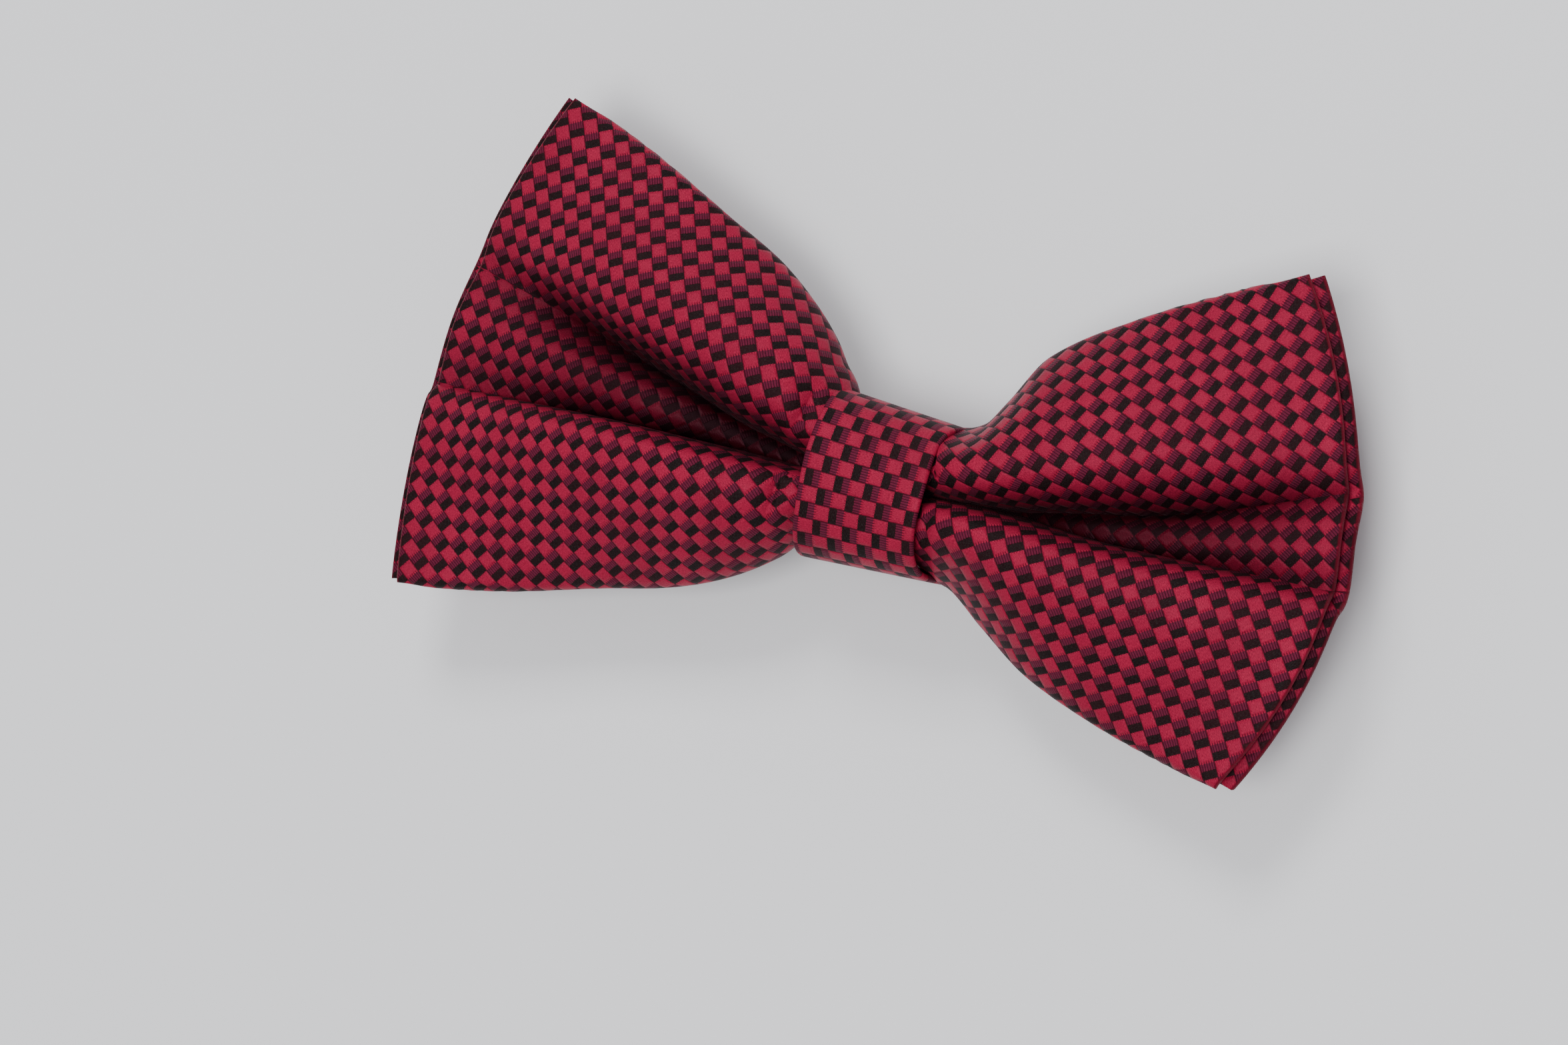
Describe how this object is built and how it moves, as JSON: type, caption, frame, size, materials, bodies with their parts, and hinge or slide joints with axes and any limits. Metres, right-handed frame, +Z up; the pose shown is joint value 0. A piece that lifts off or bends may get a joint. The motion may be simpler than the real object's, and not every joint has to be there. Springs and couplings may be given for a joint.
{
  "type": "pre-tied bow tie",
  "caption": "Pre-tied double-layer bow tie in checked jacquard, with a wrapped centre knot and an adjustable hooked neck strap folded behind it.",
  "frame": {"origin": "on the surface the tie lies on, under the middle of its box", "axes": "+Z up, the way the bow's front faces; +X to the right wing; +Y to the bow's upper edge"},
  "size_m": [0.1204, 0.0618, 0.0213],
  "materials": {
    "jacquard_cloth": "checked satin and rib jacquard, soft sheen",
    "interlining": "matt non-woven",
    "sewing_thread": "polished thread",
    "strap_webbing": "fine ribbed satin tape",
    "plated_metal": "satin nickel plate"
  },
  "bodies": {
    "root": {"knot_band": "jacquard_cloth", "knot_interlining": "interlining", "front_bow_centre_pleats": "jacquard_cloth", "back_bow_centre_pleats": "jacquard_cloth", "binding_thread": "sewing_thread", "knot_seam_thread": "sewing_thread", "neck_strap": "strap_webbing", "eye_end_bar_tack": "sewing_thread"},
    "left_wing": {"front_bow_left_wing": "jacquard_cloth", "front_bow_left_interlining": "interlining", "back_bow_left_wing": "jacquard_cloth", "back_bow_left_interlining": "interlining"},
    "right_wing": {"front_bow_right_wing": "jacquard_cloth", "front_bow_right_interlining": "interlining", "back_bow_right_wing": "jacquard_cloth", "back_bow_right_interlining": "interlining"},
    "hook_turn": {"strap_hook_turn": "strap_webbing"},
    "hook": {"strap_hook": "plated_metal"},
    "adjuster": {"adjuster_slide": "plated_metal", "strap_return_run": "strap_webbing", "return_run_bar_tack": "sewing_thread"},
    "eye": {"strap_eye": "plated_metal"}
  },
  "joints": [
    {"name": "left_wing_flex", "type": "hinge", "parent": "root", "child": "left_wing", "pos_m": [-0.0095, -0.00548, 0.0141], "axis": [0, 1, 0], "range_deg": [0, 20], "stiffness_Nm_per_rad": 0.05},
    {"name": "right_wing_flex", "type": "hinge", "parent": "root", "child": "right_wing", "pos_m": [0.0095, -0.00548, 0.0141], "axis": [0, -1, 0], "range_deg": [0, 20], "stiffness_Nm_per_rad": 0.05},
    {"name": "hook_travel", "type": "slide", "parent": "root", "child": "hook_turn", "axis": [1, 0, 0], "range_m": [-0.004, 0.004]},
    {"name": "adjuster_travel", "type": "slide", "parent": "hook_turn", "child": "adjuster", "axis": [1, 0, 0], "range_m": [-0.004, 0.004]},
    {"name": "hook_swivel", "type": "hinge", "parent": "hook_turn", "child": "hook", "pos_m": [0.031, -0.00548, 0.0018], "axis": [0, -1, 0], "range_deg": [-5, 4]},
    {"name": "eye_swivel", "type": "hinge", "parent": "root", "child": "eye", "pos_m": [0.0314, -0.00548, 0.0083], "axis": [0, -1, 0], "range_deg": [-4, 6]}
  ],
  "couplings": [
    {"joint": "hook_travel", "follows": "adjuster_travel", "ratio": 1}
  ]
}
